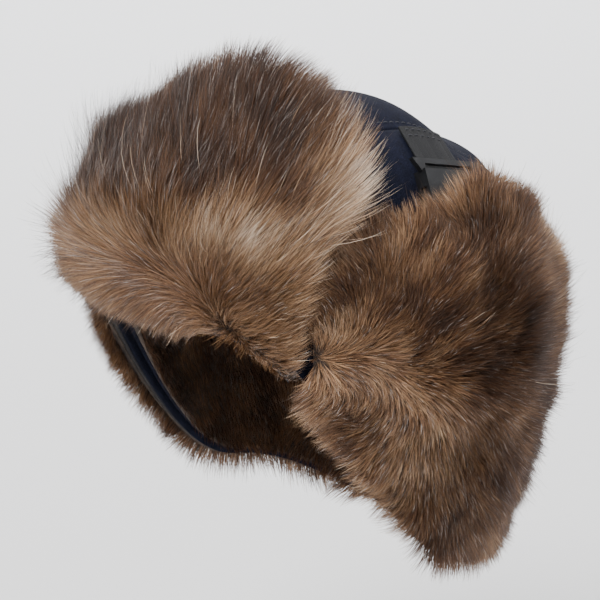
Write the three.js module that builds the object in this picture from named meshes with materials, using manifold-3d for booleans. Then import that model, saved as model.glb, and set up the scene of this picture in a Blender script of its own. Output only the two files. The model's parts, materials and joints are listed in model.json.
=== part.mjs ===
// Fur trapper hat, as worn with its brim and its ear and neck flaps turned up.
// Millimetres. +Z is up, -Y is the wearer's front, +X is the wearer's left.
// The origin is the centre of the head opening, level with the forehead edge.

import * as THREE from 'three';
import { mergeVertices } from 'three/addons/utils/BufferGeometryUtils.js';
import Module from 'manifold-3d';

const wasm = await Module();
wasm.setup();

// ---- driving dimensions ---------------------------------------------------------------

const CROWN = { a: 88, b: 104, c: 96, y: 4, z: -10 };     // outer wool: half axes and centre
const SKIRT = { tuck: 0.12, tuckPower: 1.6, nape: 14, napePower: 1.4, depth: 110, lift: 7 };
const EDGE = { front: 0, ear: -118, nape: -146, leaves: 28, reachesEar: 105, backTurn: 70 };
// Upper edge of the turned-up flaps: angles are away from the front.
const FLAP_TOP = { level: 14, rise: 36, from: 46, to: 139, climb: 24, fall: 34 };
const FLAP_TIP = { height: 14, at: 100, spread: 15 };

const WOOL = 2.2;              // melton cloth
const BATTING = 3;
const LINING = 1;
const GAP = 0.3;               // between two layers that touch
const CLEAR = 1.6;             // between a turned-up flap and the crown under it
const SEAM_Z = 2;              // where the crown panels end and the skirt begins
const GUSSET = 36;             // half width of the centre panel
const SWEATBAND = { thick: 1, low: 4, high: 28, gap: 2.6 };

const SAG = { depth: 11, from: 44, over: 34, y: 70, reach: 22 };
const BRIM = { edge: 49, top: 118, cornerDrop: 10, cornerPower: 4, leanBack: 50, pile: 26 };
// The brim's top line is highest on the wearer's left and slopes down to the right.
const BRIM_SLOPE = { highest: 0.6, drop: 48, power: 1.2 };
// The brim's ends, in degrees: they reach further back above the ear flaps and round off on top.
const BRIM_END = { from: 0.4, over: 0.22, reach: 4, roundFrom: 0.68, roundOver: 0.52, round: 26 };
const EAR = { from: 52, to: 138 };
const NECK = { from: 141, to: 219 };
const CLOTH_EDGE = { side: 1, low: 3, high: 8 };    // how far a flap's cloth stops short
const SKIN = 1.8;              // wool backing of a flap, and the interlining over it
const PILE = 22;               // fur, from the crown's wool to the ends of the hair
const SKIRT_FUR = 8;           // fur that faces the head
// How far the buckle holds an ear flap's tip off the crown, and over what stretch.
const LIFT = { height: 13, halfWidth: 30, ends: 100, fade: 54 };

// Webbing: x and y are the middle of its hem on the crown.
const WEB = { width: 25, thick: 1.5, x: 39, y: 29.5, above: 0.9, seam: 8, rise: 1.2 };
const BUCKLE = {
  x: 70, y: 20, width: 34, thick: 7.4, socket: 21, plug: 19, travel: 8, wall: 1.5,
  above: 0.9, ahead: 7,
};
const FIT = 0.4;               // play between plug and socket

const radians = THREE.MathUtils.degToRad;

// ---- materials -------------------------------------------------------------------------

function material(color, roughness) {
  return new THREE.MeshStandardMaterial({ color, roughness });
}

const NAVY_WOOL = material(0x151a2c, 0.95);
const LINING_SATIN = material(0x20232c, 0.55);
const FELT = material(0xb9b4a8, 1);
const FUR = material(0x5d4532, 0.8);
const BRIM_FUR = material(0x6a4c38, 0.75);
const RIBBON = material(0x16171b, 0.7);
const WEBBING = material(0x1b1c1e, 0.85);
const PLASTIC = material(0x141416, 0.45);

const hat = new THREE.Group();

function add(name, geometry, mat) {
  const mesh = new THREE.Mesh(geometry, mat);
  mesh.name = name;
  hat.add(mesh);
}

// ---- shared surfaces -------------------------------------------------------------------

function smooth(t) {
  return THREE.MathUtils.smoothstep(t, 0, 1);
}

const lerp = THREE.MathUtils.lerp;

// Degrees away from the front, 0 to 180, on either side.
function awayFromFront(angle) {
  return Math.abs(THREE.MathUtils.euclideanModulo(angle + 180, 360) - 180);
}

// Height of the hat's lower edge: level over the forehead, low over the ears and the nape.
function lowerEdge(angle) {
  const d = awayFromFront(angle);
  const side = smooth((d - EDGE.leaves) / (EDGE.reachesEar - EDGE.leaves));
  const back = smooth((d - 180 + EDGE.backTurn + 10) / EDGE.backTurn);
  return lerp(lerp(EDGE.front, EDGE.ear, side), EDGE.nape, back);
}

// Height of the upper edge of the turned-up flaps, which rises to the tip of each ear flap.
function flapTop(angle) {
  const d = awayFromFront(angle);
  const ear = smooth((d - FLAP_TOP.from) / FLAP_TOP.climb) * smooth((FLAP_TOP.to - d) / FLAP_TOP.fall);
  const tip = FLAP_TIP.height * Math.exp(-(((d - FLAP_TIP.at) / FLAP_TIP.spread) ** 2));
  return FLAP_TOP.level + FLAP_TOP.rise * ear + tip;
}

// A point of the hat's body at an angle and a height, moved outward by off.
function body(angle, z, off) {
  const phi = radians(angle);
  const rise = Math.min(Math.max((z - CROWN.z) / (CROWN.c + off), 0), 1);
  const low = Math.max((CROWN.z - z) / SKIRT.depth, 0);
  const shrink = Math.sqrt(1 - rise ** 2) * (1 - SKIRT.tuck * low ** SKIRT.tuckPower);
  return [
    (CROWN.a + off) * shrink * Math.sin(phi),
    CROWN.y - SKIRT.nape * low ** SKIRT.napePower - (CROWN.b + off) * shrink * Math.cos(phi),
    z,
  ];
}

// A point of the crown's dome at an angle round it and an elevation from its equator.
function dome(phi, elevation, off) {
  return [
    (CROWN.a + off) * Math.sin(phi) * Math.cos(elevation),
    CROWN.y - (CROWN.b + off) * Math.cos(phi) * Math.cos(elevation),
    CROWN.z + (CROWN.c + off) * Math.sin(elevation),
  ];
}

// The soft crown sinks behind its middle.
function sag([x, y, z]) {
  const behind = Math.exp(-(((y - SAG.y) / SAG.reach) ** 2));
  return [x, y, z - SAG.depth * behind * smooth((z - SAG.from) / SAG.over)];
}

// ---- geometry helpers ------------------------------------------------------------------

// A closed slab of nu by nv cells whose points come from map(u, v, w), each from 0 to 1,
// with w going outward.
function slab(nu, nv, map) {
  const box = new THREE.BoxGeometry(1, 1, 1, nu, nv, 1);
  const at = box.attributes.position;
  for (let i = 0; i < at.count; i++) {
    at.setXYZ(i, ...map(at.getX(i) + 0.5, at.getY(i) + 0.5, at.getZ(i) + 0.5));
  }
  turnDiagonals(box.index, box.groups[5]);
  return welded(box);
}

// Splits the cells of a slab's inner face along the same diagonals as its outer face, so that
// two slabs that lie on each other keep an even gap.
function turnDiagonals(index, face) {
  for (let i = face.start; i < face.start + face.count; i += 6) {
    const [a, b, d, , c] = index.array.slice(i, i + 5);
    index.array.set([a, b, c, a, c, d], i);
  }
}

function welded(geometry) {
  const bare = geometry.index ? geometry : mergeVertices(geometry);
  bare.deleteAttribute('normal');
  bare.deleteAttribute('uv');
  const merged = mergeVertices(bare, 1e-4);
  merged.computeVertexNormals();
  return merged;
}

function toSolid(geometry) {
  const merged = welded(geometry);
  return new wasm.Manifold(new wasm.Mesh({
    numProp: 3,
    vertProperties: new Float32Array(merged.attributes.position.array),
    triVerts: new Uint32Array(merged.index.array),
  }));
}

function toGeometry(solid) {
  const mesh = solid.getMesh();
  const geometry = new THREE.BufferGeometry();
  geometry.setAttribute('position', new THREE.BufferAttribute(mesh.vertProperties, 3));
  geometry.setIndex(new THREE.BufferAttribute(mesh.triVerts, 1));
  geometry.computeVertexNormals();
  return geometry;
}

// A box from one corner to the other, as a solid for cutting and joining.
function block(low, high) {
  const size = high.map((h, i) => h - low[i]);
  const geometry = new THREE.BoxGeometry(...size);
  geometry.translate(...low.map((l, i) => l + size[i] / 2));
  return toSolid(geometry);
}

// ---- crown: wool, batting and lining, each in a centre panel and two side panels --------

function centrePanel(outer, inner) {
  return slab(4, 16, (u, v, w) => {
    const off = lerp(inner, outer, w);
    const x = lerp(-GUSSET, GUSSET, u);
    const round = Math.sqrt(1 - (x / (CROWN.a + off)) ** 2);
    const rim = Math.asin((SEAM_Z - CROWN.z) / ((CROWN.c + off) * round));
    const turn = lerp(rim, Math.PI - rim, v);
    return sag([
      x,
      CROWN.y - (CROWN.b + off) * round * Math.cos(turn),
      CROWN.z + (CROWN.c + off) * round * Math.sin(turn),
    ]);
  });
}

const INNERMOST = CROWN.a - WOOL - BATTING - LINING - 2 * GAP;

function sidePanel(side, outer, inner) {
  const seam = GUSSET + 2 * GAP;
  const start = Math.asin(seam / (INNERMOST * Math.cos(radians(14))));
  return slab(14, 6, (u, v, w) => {
    const off = lerp(inner, outer, w);
    const phi = lerp(start, Math.PI - start, u) + (side < 0 ? Math.PI : 0);
    const rim = Math.asin((SEAM_Z - CROWN.z) / (CROWN.c + off));
    const top = Math.acos(seam / ((CROWN.a + off) * Math.abs(Math.sin(phi))));
    return sag(dome(phi, lerp(rim, top, v), off));
  });
}

function crownLayer(name, outer, thick, mat) {
  add(`${name}_centre_panel`, centrePanel(outer, outer - thick), mat);
  add(`${name}_left_panel`, sidePanel(1, outer, outer - thick), mat);
  add(`${name}_right_panel`, sidePanel(-1, outer, outer - thick), mat);
}

function sweatband(outer) {
  return slab(32, 1, (u, v, w) => {
    const z = lerp(SWEATBAND.low, SWEATBAND.high, v);
    return body(lerp(181, 539, u), z, outer - SWEATBAND.thick * (1 - w));
  });
}

// ---- skirt: the part of the cloth body below the crown, with fur facing the head --------

function skirt(from, to, outer, thick, lift) {
  return slab(10, 4, (u, v, w) => {
    const angle = lerp(from, to, u);
    const z = lerp(lowerEdge(angle) + lift, SEAM_Z - 2 * GAP, v);
    return body(angle, z, outer - thick * (1 - w));
  });
}

function skirtPieces(name, from, to, place) {
  add(`${name}_skirt`, place(skirt(from, to, 0, WOOL, SKIRT.lift)), NAVY_WOOL);
  add(`${name}_skirt_fur`, place(skirt(from, to, -WOOL - GAP, SKIRT_FUR, SKIRT.lift)), FUR);
}

// ---- where the buckle lies on the crown ---------------------------------------------------

function crownPoint(x, y) {
  const share = 1 - (x / CROWN.a) ** 2 - ((y - CROWN.y) / CROWN.b) ** 2;
  return new THREE.Vector3(...sag([x, y, CROWN.z + CROWN.c * Math.sqrt(share)]));
}

function crownNormal(point) {
  return new THREE.Vector3(
    point.x / CROWN.a ** 2,
    (point.y - CROWN.y) / CROWN.b ** 2,
    (point.z - CROWN.z) / CROWN.c ** 2,
  ).normalize();
}

// The buckle's frame: x runs down the hat's left side along the strap, y across it, and z away
// from the crown. The socket touches the crown ahead of its mouth, which is the frame's zero.
function buckleFrame() {
  const touch = crownPoint(BUCKLE.x, BUCKLE.y);
  const out = crownNormal(touch);
  const across = new THREE.Vector3().crossVectors(out, new THREE.Vector3(1, 0, 0)).normalize();
  const along = new THREE.Vector3().crossVectors(across, out);
  touch.addScaledVector(out, BUCKLE.thick / 2 + BUCKLE.above);
  touch.addScaledVector(along, BUCKLE.ahead);
  return new THREE.Matrix4().makeBasis(along, across, out).setPosition(touch);
}

const BUCKLE_FRAME = buckleFrame();

const TO_BUCKLE = BUCKLE_FRAME.clone().invert();

// ---- turned-up flaps: wool backing, interlining and fur ---------------------------------

// How far the buckle under an ear flap's tip pushes the flap off the crown.
function tipLift([x, y, z]) {
  const near = new THREE.Vector3(Math.abs(x), y, z).applyMatrix4(TO_BUCKLE);
  const across = Math.exp(-((near.y / LIFT.halfWidth) ** 4));
  return LIFT.height * across * smooth((LIFT.ends - near.x) / LIFT.fade);
}

function pileDepth(v) {
  return PILE * Math.sin(Math.PI * (0.1 + 0.82 * v)) ** 0.55;
}

// A layer of a flap. Its inner face stops short of the flap's edges, and so does its outer
// face, unless it is fur, whose hair reaches past the cloth.
function flapSlab(nu, range, inner, outer, reach) {
  return slab(nu, 6, (u, v, w) => {
    const short = 1 - reach * w;
    const side = short * CLOTH_EDGE.side;
    const angle = lerp(range.from + side, range.to - side, u);
    const low = lowerEdge(angle) + short * CLOTH_EDGE.low;
    const z = lerp(low, flapTop(angle) - short * CLOTH_EDGE.high, v);
    const off = lerp(inner, outer(v), w);
    return body(angle, z, off + tipLift(body(angle, z, 0)));
  });
}

function flapPieces(name, range, place) {
  const backing = CLEAR + SKIN;
  const felt = backing + GAP + SKIN;
  const layer = (inner, outer, reach) => place(flapSlab(12, range, inner, outer, reach));
  add(`${name}_backing`, layer(CLEAR, () => backing, 0), NAVY_WOOL);
  add(`${name}_interlining`, layer(backing + GAP, () => felt, 0), FELT);
  add(`${name}_fur`, layer(felt + GAP, pileDepth, 1), FUR);
}

// ---- brim: stands up in front of the crown and leans back over it ------------------------

function brimTop(share) {
  const slope = Math.max(BRIM_SLOPE.highest - share, 0) / (1 + BRIM_SLOPE.highest);
  const corner = BRIM.cornerDrop * Math.abs(share) ** BRIM.cornerPower;
  return BRIM.top - BRIM_SLOPE.drop * slope ** BRIM_SLOPE.power - corner;
}

function brimEnd(v) {
  const reach = BRIM_END.reach * smooth((v - BRIM_END.from) / BRIM_END.over);
  const round = BRIM_END.round * smooth((v - BRIM_END.roundFrom) / BRIM_END.roundOver);
  return BRIM.edge + reach - round;
}

function brimPoint(share, v, off, inset) {
  const angle = share * (brimEnd(v) - inset / 2);
  const phi = radians(angle);
  const low = lowerEdge(share * BRIM.edge);
  const z = lerp(low + inset, brimTop(share) - 2 * inset, v);
  const foot = body(angle, Math.min(z, SEAM_Z), 0);
  const lean = BRIM.leanBack * Math.max(z / BRIM.top, 0) ** 2;
  return [foot[0] + off * Math.sin(phi), foot[1] - off * Math.cos(phi) + lean, z];
}

function brimSlab(inner, outer, reach) {
  return slab(12, 8, (u, v, w) => {
    const inset = 3 * (1 - reach * w);
    return brimPoint(2 * u - 1, v, lerp(inner, outer(v), w), inset);
  });
}

function brimPile(v) {
  return BRIM.pile * Math.sin(Math.PI * (0.12 + 0.8 * v)) ** 0.5 + 2 * v;
}

function brimPieces() {
  const backing = CLEAR + SKIN;
  const felt = backing + GAP + SKIN;
  add('brim_backing', brimSlab(CLEAR, () => backing, 0), NAVY_WOOL);
  add('brim_stiffener', brimSlab(backing + GAP, () => felt, 0), FELT);
  add('brim_fur', brimSlab(felt + GAP, brimPile, 1), BRIM_FUR);
}

// ---- straps and buckles ------------------------------------------------------------------

// Female half: a flat case open towards the plug, with a window in each side for the arms,
// a webbing bar at its far end and a pointed shoulder at each end of the bar.
function socketSolid() {
  const { thick, socket, wall } = BUCKLE;
  const half = BUCKLE.width / 2;
  const inside = half - wall;
  const window = thick / 2 - wall - 0.4;
  let solid = block([-socket, -half, -thick / 2], [0, half, thick / 2])
    .subtract(block([5 - socket, -inside, wall - thick / 2], [1, inside, thick / 2 - wall]))
    .subtract(block([-13, -half - 1, -window], [-5, half + 1, window]));
  for (const edge of [-1, 1]) {
    solid = solid.add(blockBeside(edge, half - 2.6, half, [-socket - 5.5, -socket + 1], [-0.4, 2]));
    solid = solid.add(shoulder(edge, half));
  }
  return solid.add(block([-socket - 5.5, -half, -0.4], [-socket - 3, half, 2]));
}

// A block on one side of the middle, between two distances from it.
function blockBeside(edge, near, far, x, z) {
  const [low, high] = edge > 0 ? [near, far] : [-far, -near];
  return block([x[0], low, z[0]], [x[1], high, z[1]]);
}

function shoulder(edge, half) {
  const end = -BUCKLE.socket - 5.5;
  const outline = new THREE.Shape([
    new THREE.Vector2(end + 8, edge * (half - 1)),
    new THREE.Vector2(end, edge * (half + 4.5)),
    new THREE.Vector2(end, edge * (half - 1)),
  ]);
  const geometry = new THREE.ExtrudeGeometry(outline, { depth: 2.4, bevelEnabled: false });
  geometry.translate(0, 0, -0.4);
  return toSolid(geometry);
}

// Male half: a middle guide and two springy arms inside the socket, a plate outside it, and
// two bars that the ear flap's strap runs under.
function plugSolid() {
  const { plug, wall, socket, thick } = BUCKLE;
  const high = thick / 2 - wall - FIT;
  const half = BUCKLE.width / 2;
  const reach = 6 - socket;
  const barZ = [-high, 0.6];
  let solid = block([FIT, 1 - half, -high], [5, half - 1, high])
    .add(block([reach, -3, -high], [1, 3, high]));
  for (const edge of [-1, 1]) {
    const arm = half - wall - FIT;
    solid = solid.add(blockBeside(edge, arm - 3, arm, [reach + 1, 1], [-high, high]));
    solid = solid.add(blockBeside(edge, WEB.width / 2 + 0.6, half - 1, [4, plug], [-2.8, high]));
  }
  for (const end of [plug - 7.5, plug]) {
    solid = solid.add(block([end - 2.5, 2 - half, barZ[0]], [end, half - 2, barZ[1]]));
  }
  return solid;
}

// Webbing sewn to the crown at its hem, and pulled straight from there to the socket's bar.
function crownTab() {
  const end = -BUCKLE.socket - 0.6;
  return slab(6, 2, (u, v, w) => {
    const across = (v - 0.5) * WEB.width;
    const hem = crownPoint(WEB.x, WEB.y + across);
    hem.addScaledVector(crownNormal(hem), WEB.above + w * WEB.thick);
    const bar = new THREE.Vector3(end, across, (w - 1) * WEB.thick - 0.8);
    return hem.lerp(bar.applyMatrix4(BUCKLE_FRAME), u).toArray();
  });
}

// Webbing of the ear flap: straight under the plug, then up to its seam on the flap's backing.
function flapStrap() {
  const straight = BUCKLE.plug + BUCKLE.travel + 1;
  const length = straight + WEB.seam;
  return slab(6, 1, (u, v, w) => {
    const x = lerp(1, length, u);
    const rise = WEB.rise * smooth((x - straight) / WEB.seam);
    const z = rise - 2.1 + (w - 1) * WEB.thick;
    const point = new THREE.Vector3(x, (v - 0.5) * WEB.width, z);
    return point.applyMatrix4(BUCKLE_FRAME).toArray();
  });
}

// The same geometry on the wearer's right.
function mirrored(geometry) {
  const copy = geometry.clone();
  copy.scale(-1, 1, 1);
  const { index } = copy;
  for (let i = 0; i < index.count; i += 3) {
    const first = index.getX(i);
    index.setX(i, index.getX(i + 1));
    index.setX(i + 1, first);
  }
  copy.computeVertexNormals();
  return copy;
}

function fastening(name, place) {
  const inFrame = (solid) => place(toGeometry(solid).applyMatrix4(BUCKLE_FRAME));
  add(`${name}_crown_tab`, place(crownTab()), WEBBING);
  add(`${name}_buckle_socket`, inFrame(socketSolid()), PLASTIC);
  add(`${name}_buckle_plug`, inFrame(plugSolid()), PLASTIC);
  add(`${name}_flap_strap`, place(flapStrap()), WEBBING);
}

// ---- assembly ----------------------------------------------------------------------------

const battingOuter = -WOOL - GAP;
const liningOuter = battingOuter - BATTING - GAP;

crownLayer('crown', 0, WOOL, NAVY_WOOL);
crownLayer('batting', battingOuter, BATTING, FELT);
crownLayer('lining', liningOuter, LINING, LINING_SATIN);
add('sweatband', sweatband(liningOuter - LINING - SWEATBAND.gap), RIBBON);

const asMade = (geometry) => geometry;

skirtPieces('left_ear', EAR.from - 6, EAR.to, asMade);
skirtPieces('nape', EAR.to + 0.5, 360 - EAR.to - 0.5, asMade);
skirtPieces('right_ear', EAR.from - 6, EAR.to, mirrored);

brimPieces();
flapPieces('left_flap', EAR, asMade);
flapPieces('right_flap', EAR, mirrored);
flapPieces('neck_flap', NECK, asMade);

fastening('left', asMade);
fastening('right', mirrored);

export default hat;
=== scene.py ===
"""Fur trapper hat: fur, wool, lining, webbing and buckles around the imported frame.

Lengths are in millimetres until a mesh is made. +Z is up, -Y is the wearer's front and +X the
wearer's left. Angles go round the hat from the front, 0, over the left ear, 90, to the nape, 180.
"""

import json
import math

import bmesh
import bpy
import numpy as np
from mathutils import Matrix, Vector, kdtree

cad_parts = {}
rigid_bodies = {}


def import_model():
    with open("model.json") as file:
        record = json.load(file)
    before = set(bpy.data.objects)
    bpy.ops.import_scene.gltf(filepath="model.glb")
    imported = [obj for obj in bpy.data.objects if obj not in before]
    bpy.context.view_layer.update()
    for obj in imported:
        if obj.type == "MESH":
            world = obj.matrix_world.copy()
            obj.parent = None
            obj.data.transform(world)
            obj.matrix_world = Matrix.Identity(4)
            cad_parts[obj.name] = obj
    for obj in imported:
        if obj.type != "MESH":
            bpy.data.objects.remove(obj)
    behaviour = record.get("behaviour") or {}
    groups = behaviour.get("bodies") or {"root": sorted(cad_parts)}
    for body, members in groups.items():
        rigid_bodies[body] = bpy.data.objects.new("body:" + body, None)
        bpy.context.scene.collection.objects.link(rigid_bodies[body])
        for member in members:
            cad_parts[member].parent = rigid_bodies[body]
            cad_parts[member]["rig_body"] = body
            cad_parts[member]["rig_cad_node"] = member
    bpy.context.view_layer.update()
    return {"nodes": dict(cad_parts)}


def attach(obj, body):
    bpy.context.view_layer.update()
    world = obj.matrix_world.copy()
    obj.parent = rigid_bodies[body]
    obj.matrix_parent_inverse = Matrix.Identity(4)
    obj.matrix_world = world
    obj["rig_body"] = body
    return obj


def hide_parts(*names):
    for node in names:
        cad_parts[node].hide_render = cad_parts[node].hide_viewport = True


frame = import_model()

MM = 0.001

# ---- driving dimensions, the same as the frame's -------------------------------------------

CROWN = {"a": 88, "b": 104, "c": 96, "y": 4, "z": -10}
SKIRT = {"tuck": 0.12, "tuck_power": 1.6, "nape": 14, "nape_power": 1.4, "depth": 110}
EDGE = {"front": 0, "ear": -118, "nape": -146, "leaves": 28, "reaches_ear": 105, "back_turn": 70}
FLAP_TOP = {"level": 14, "rise": 36, "from": 46, "to": 139, "climb": 24, "fall": 34}
FLAP_TIP = {"height": 14, "at": 100, "spread": 15}
WOOL, BATTING, LINING, GAP, CLEAR, SKIN = 2.2, 3, 1, 0.3, 1.6, 1.8
SEAM_Z, GUSSET = 2, 36
BRIM = {"edge": 49, "top": 118, "corner_drop": 10, "corner_power": 4, "lean_back": 50}
BRIM_SLOPE = {"highest": 0.6, "drop": 48, "power": 1.2}
BRIM_END = {"from": 0.4, "over": 0.22, "reach": 4, "round_from": 0.68, "round_over": 0.52, "round": 26}
EAR, NECK = (52, 138), (141, 219)
LIFT = {"height": 13, "half_width": 30, "ends": 100, "fade": 54}
SAG = {"depth": 11, "from": 44, "over": 34, "y": 70, "reach": 22}
WEB = {"width": 25, "thick": 1.5, "x": 39, "y": 29.5, "above": 0.9, "seam": 8, "rise": 1.2}
BUCKLE = {"x": 70, "y": 20, "thick": 7.4, "plug": 19, "travel": 8, "above": 0.9, "ahead": 7, "socket": 21}


# ---- surfaces: every function takes and returns arrays --------------------------------------

def smooth(t):
    t = np.clip(t, 0, 1)
    return t * t * (3 - 2 * t)


def lerp(a, b, t):
    return a + (b - a) * t


def unit(v):
    return v / np.maximum(np.linalg.norm(v, axis=-1, keepdims=True), 1e-9)


def away_from_front(angle):
    return np.abs((np.asarray(angle, float) + 180) % 360 - 180)


def lower_edge(angle):
    d = away_from_front(angle)
    side = smooth((d - EDGE["leaves"]) / (EDGE["reaches_ear"] - EDGE["leaves"]))
    back = smooth((d - 180 + EDGE["back_turn"] + 10) / EDGE["back_turn"])
    return lerp(lerp(EDGE["front"], EDGE["ear"], side), EDGE["nape"], back)


def flap_top(angle):
    d = away_from_front(angle)
    ear = smooth((d - FLAP_TOP["from"]) / FLAP_TOP["climb"]) * smooth((FLAP_TOP["to"] - d) / FLAP_TOP["fall"])
    tip = FLAP_TIP["height"] * np.exp(-(((d - FLAP_TIP["at"]) / FLAP_TIP["spread"]) ** 2))
    return FLAP_TOP["level"] + FLAP_TOP["rise"] * ear + tip


def body(angle, z, off):
    """A point of the hat's body at an angle and a height, moved outward by off."""
    phi = np.radians(angle)
    rise = np.clip((z - CROWN["z"]) / (CROWN["c"] + off), 0, 1)
    low = np.maximum((CROWN["z"] - z) / SKIRT["depth"], 0)
    shrink = np.sqrt(1 - rise ** 2) * (1 - SKIRT["tuck"] * low ** SKIRT["tuck_power"])
    nape = SKIRT["nape"] * low ** SKIRT["nape_power"]
    return np.stack([
        (CROWN["a"] + off) * shrink * np.sin(phi),
        CROWN["y"] - nape - (CROWN["b"] + off) * shrink * np.cos(phi),
        z + 0 * phi,
    ], -1)


def sag(p):
    """The soft crown sinks behind its middle."""
    behind = np.exp(-(((p[..., 1] - SAG["y"]) / SAG["reach"]) ** 2))
    drop = SAG["depth"] * behind * smooth((p[..., 2] - SAG["from"]) / SAG["over"])
    return p - drop[..., None] * [0, 0, 1]


def crown_point(x, y):
    share = 1 - (x / CROWN["a"]) ** 2 - ((y - CROWN["y"]) / CROWN["b"]) ** 2
    p = np.stack([x + 0 * share, y + 0 * share, CROWN["z"] + CROWN["c"] * np.sqrt(share)], -1)
    return sag(p)


def crown_normal(p):
    sizes = np.array([CROWN["a"], CROWN["b"], CROWN["c"]]) ** 2
    return unit((p - [0, CROWN["y"], CROWN["z"]]) / sizes)


def buckle_frame():
    """Axes along the strap, across it and away from the crown, and the mouth of the socket."""
    touch = crown_point(BUCKLE["x"], BUCKLE["y"])
    out = crown_normal(touch)
    across = unit(np.cross(out, [1, 0, 0]))
    along = np.cross(across, out)
    mouth = touch + out * (BUCKLE["thick"] / 2 + BUCKLE["above"]) + along * BUCKLE["ahead"]
    return np.array([along, across, out]), mouth


BUCKLE_AXES, BUCKLE_MOUTH = buckle_frame()


def in_buckle(points):
    """Points in the left buckle's frame. Points on the right are mirrored first."""
    mirrored = points * 1.0
    mirrored[..., 0] = np.abs(mirrored[..., 0])
    return (mirrored - BUCKLE_MOUTH) @ BUCKLE_AXES.T


def tip_lift(points):
    near = in_buckle(points)
    across = np.exp(-((near[..., 1] / LIFT["half_width"]) ** 4))
    return LIFT["height"] * across * smooth((LIFT["ends"] - near[..., 0]) / LIFT["fade"])


def flap_point(angle, z, off):
    return body(angle, z, off + tip_lift(body(angle, z, 0 * off)))


def brim_top(share):
    slope = np.maximum(BRIM_SLOPE["highest"] - share, 0) / (1 + BRIM_SLOPE["highest"])
    corner = BRIM["corner_drop"] * np.abs(share) ** BRIM["corner_power"]
    return BRIM["top"] - BRIM_SLOPE["drop"] * slope ** BRIM_SLOPE["power"] - corner


def brim_end(v):
    """How far round the hat the brim's ends reach, in degrees."""
    reach = BRIM_END["reach"] * smooth((v - BRIM_END["from"]) / BRIM_END["over"])
    rounding = smooth((v - BRIM_END["round_from"]) / BRIM_END["round_over"])
    return BRIM["edge"] + reach - BRIM_END["round"] * rounding


def brim_point(share, v, off, low_inset, top_inset):
    """A point of the brim. share is from -1 to 1 across it and v from 0 to 1 up it."""
    angle = share * (brim_end(v) - 1)
    phi = np.radians(angle)
    z = lerp(lower_edge(share * BRIM["edge"]) + low_inset, brim_top(share) - top_inset, v)
    foot = body(angle, np.minimum(z, SEAM_Z), 0 * off)
    lean = BRIM["lean_back"] * np.maximum(z / BRIM["top"], 0) ** 2
    return np.stack([
        foot[..., 0] + off * np.sin(phi), foot[..., 1] - off * np.cos(phi) + lean, z + 0 * off,
    ], -1)


# ---- smooth pseudo-random fields -------------------------------------------------------------

def field(points, size, seed):
    """About -1 to 1, changing over a length of about size."""
    pick = np.random.default_rng(seed)
    total = 0
    waves = 9
    for _ in range(waves):
        way = unit(pick.normal(size=3)) * (2 * math.pi / (size * pick.uniform(0.7, 1.9)))
        total = total + np.sin(points @ way + pick.uniform(0, 2 * math.pi))
    return total / math.sqrt(waves / 2) / 1.6


# ---- meshes ----------------------------------------------------------------------------------

def make_mesh(name, verts, quads, tris=None):
    """A mesh from arrays, in millimetres, linked to the scene and shaded smooth."""
    me = bpy.data.meshes.new(name)
    tris = np.zeros((0, 3), int) if tris is None else tris
    loops = np.concatenate([quads.ravel(), tris.ravel()])
    sizes = np.concatenate([np.full(len(quads), 4), np.full(len(tris), 3)])
    me.vertices.add(len(verts))
    me.vertices.foreach_set("co", (verts * MM).astype(np.float32).ravel())
    me.loops.add(len(loops))
    me.loops.foreach_set("vertex_index", loops.astype(np.int32))
    me.polygons.add(len(sizes))
    starts = np.concatenate([[0], np.cumsum(sizes)[:-1]])
    me.polygons.foreach_set("loop_start", starts.astype(np.int32))
    me.update(calc_edges=True)
    me.validate()
    me.shade_smooth()
    ob = bpy.data.objects.new(name, me)
    bpy.context.scene.collection.objects.link(ob)
    return ob


def grid_quads(nu, nv, start=0, flip=False):
    """Quads of a grid of nu by nv points, numbered with v fastest."""
    i, j = np.meshgrid(np.arange(nu - 1), np.arange(nv - 1), indexing="ij")
    a = start + (i * nv + j).ravel()
    quads = np.stack([a, a + nv, a + nv + 1, a + 1], 1)
    return quads[:, ::-1] if flip else quads


def rim(nu, nv):
    """The points round a grid's edge, in order."""
    return np.concatenate([
        np.arange(nu) * nv, (nu - 1) * nv + np.arange(1, nv),
        (np.arange(nu - 2, -1, -1)) * nv + nv - 1, np.arange(nv - 2, 0, -1),
    ])


def shell(name, nu, nv, place):
    """A closed sheet from place(u, v, w), w = 0 on its inner face and 1 on its outer face."""
    u, v = np.meshgrid(np.linspace(0, 1, nu), np.linspace(0, 1, nv), indexing="ij")
    faces = [place(u, v, np.full_like(u, w)).reshape(-1, 3) for w in (0, 1)]
    edge = rim(nu, nv)
    step = np.roll(edge, -1)
    count = nu * nv
    sides = np.stack([edge, step, step + count, edge + count], 1)
    quads = np.concatenate([
        grid_quads(nu, nv, 0, True), grid_quads(nu, nv, count), sides,
    ])
    ob = make_mesh(name, np.concatenate(faces), quads)
    outward(ob)
    return ob


def outward(ob):
    bm = bmesh.new()
    bm.from_mesh(ob.data)
    bmesh.ops.recalc_face_normals(bm, faces=bm.faces)
    bm.to_mesh(ob.data)
    bm.free()


# ---- fur -------------------------------------------------------------------------------------

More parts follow.
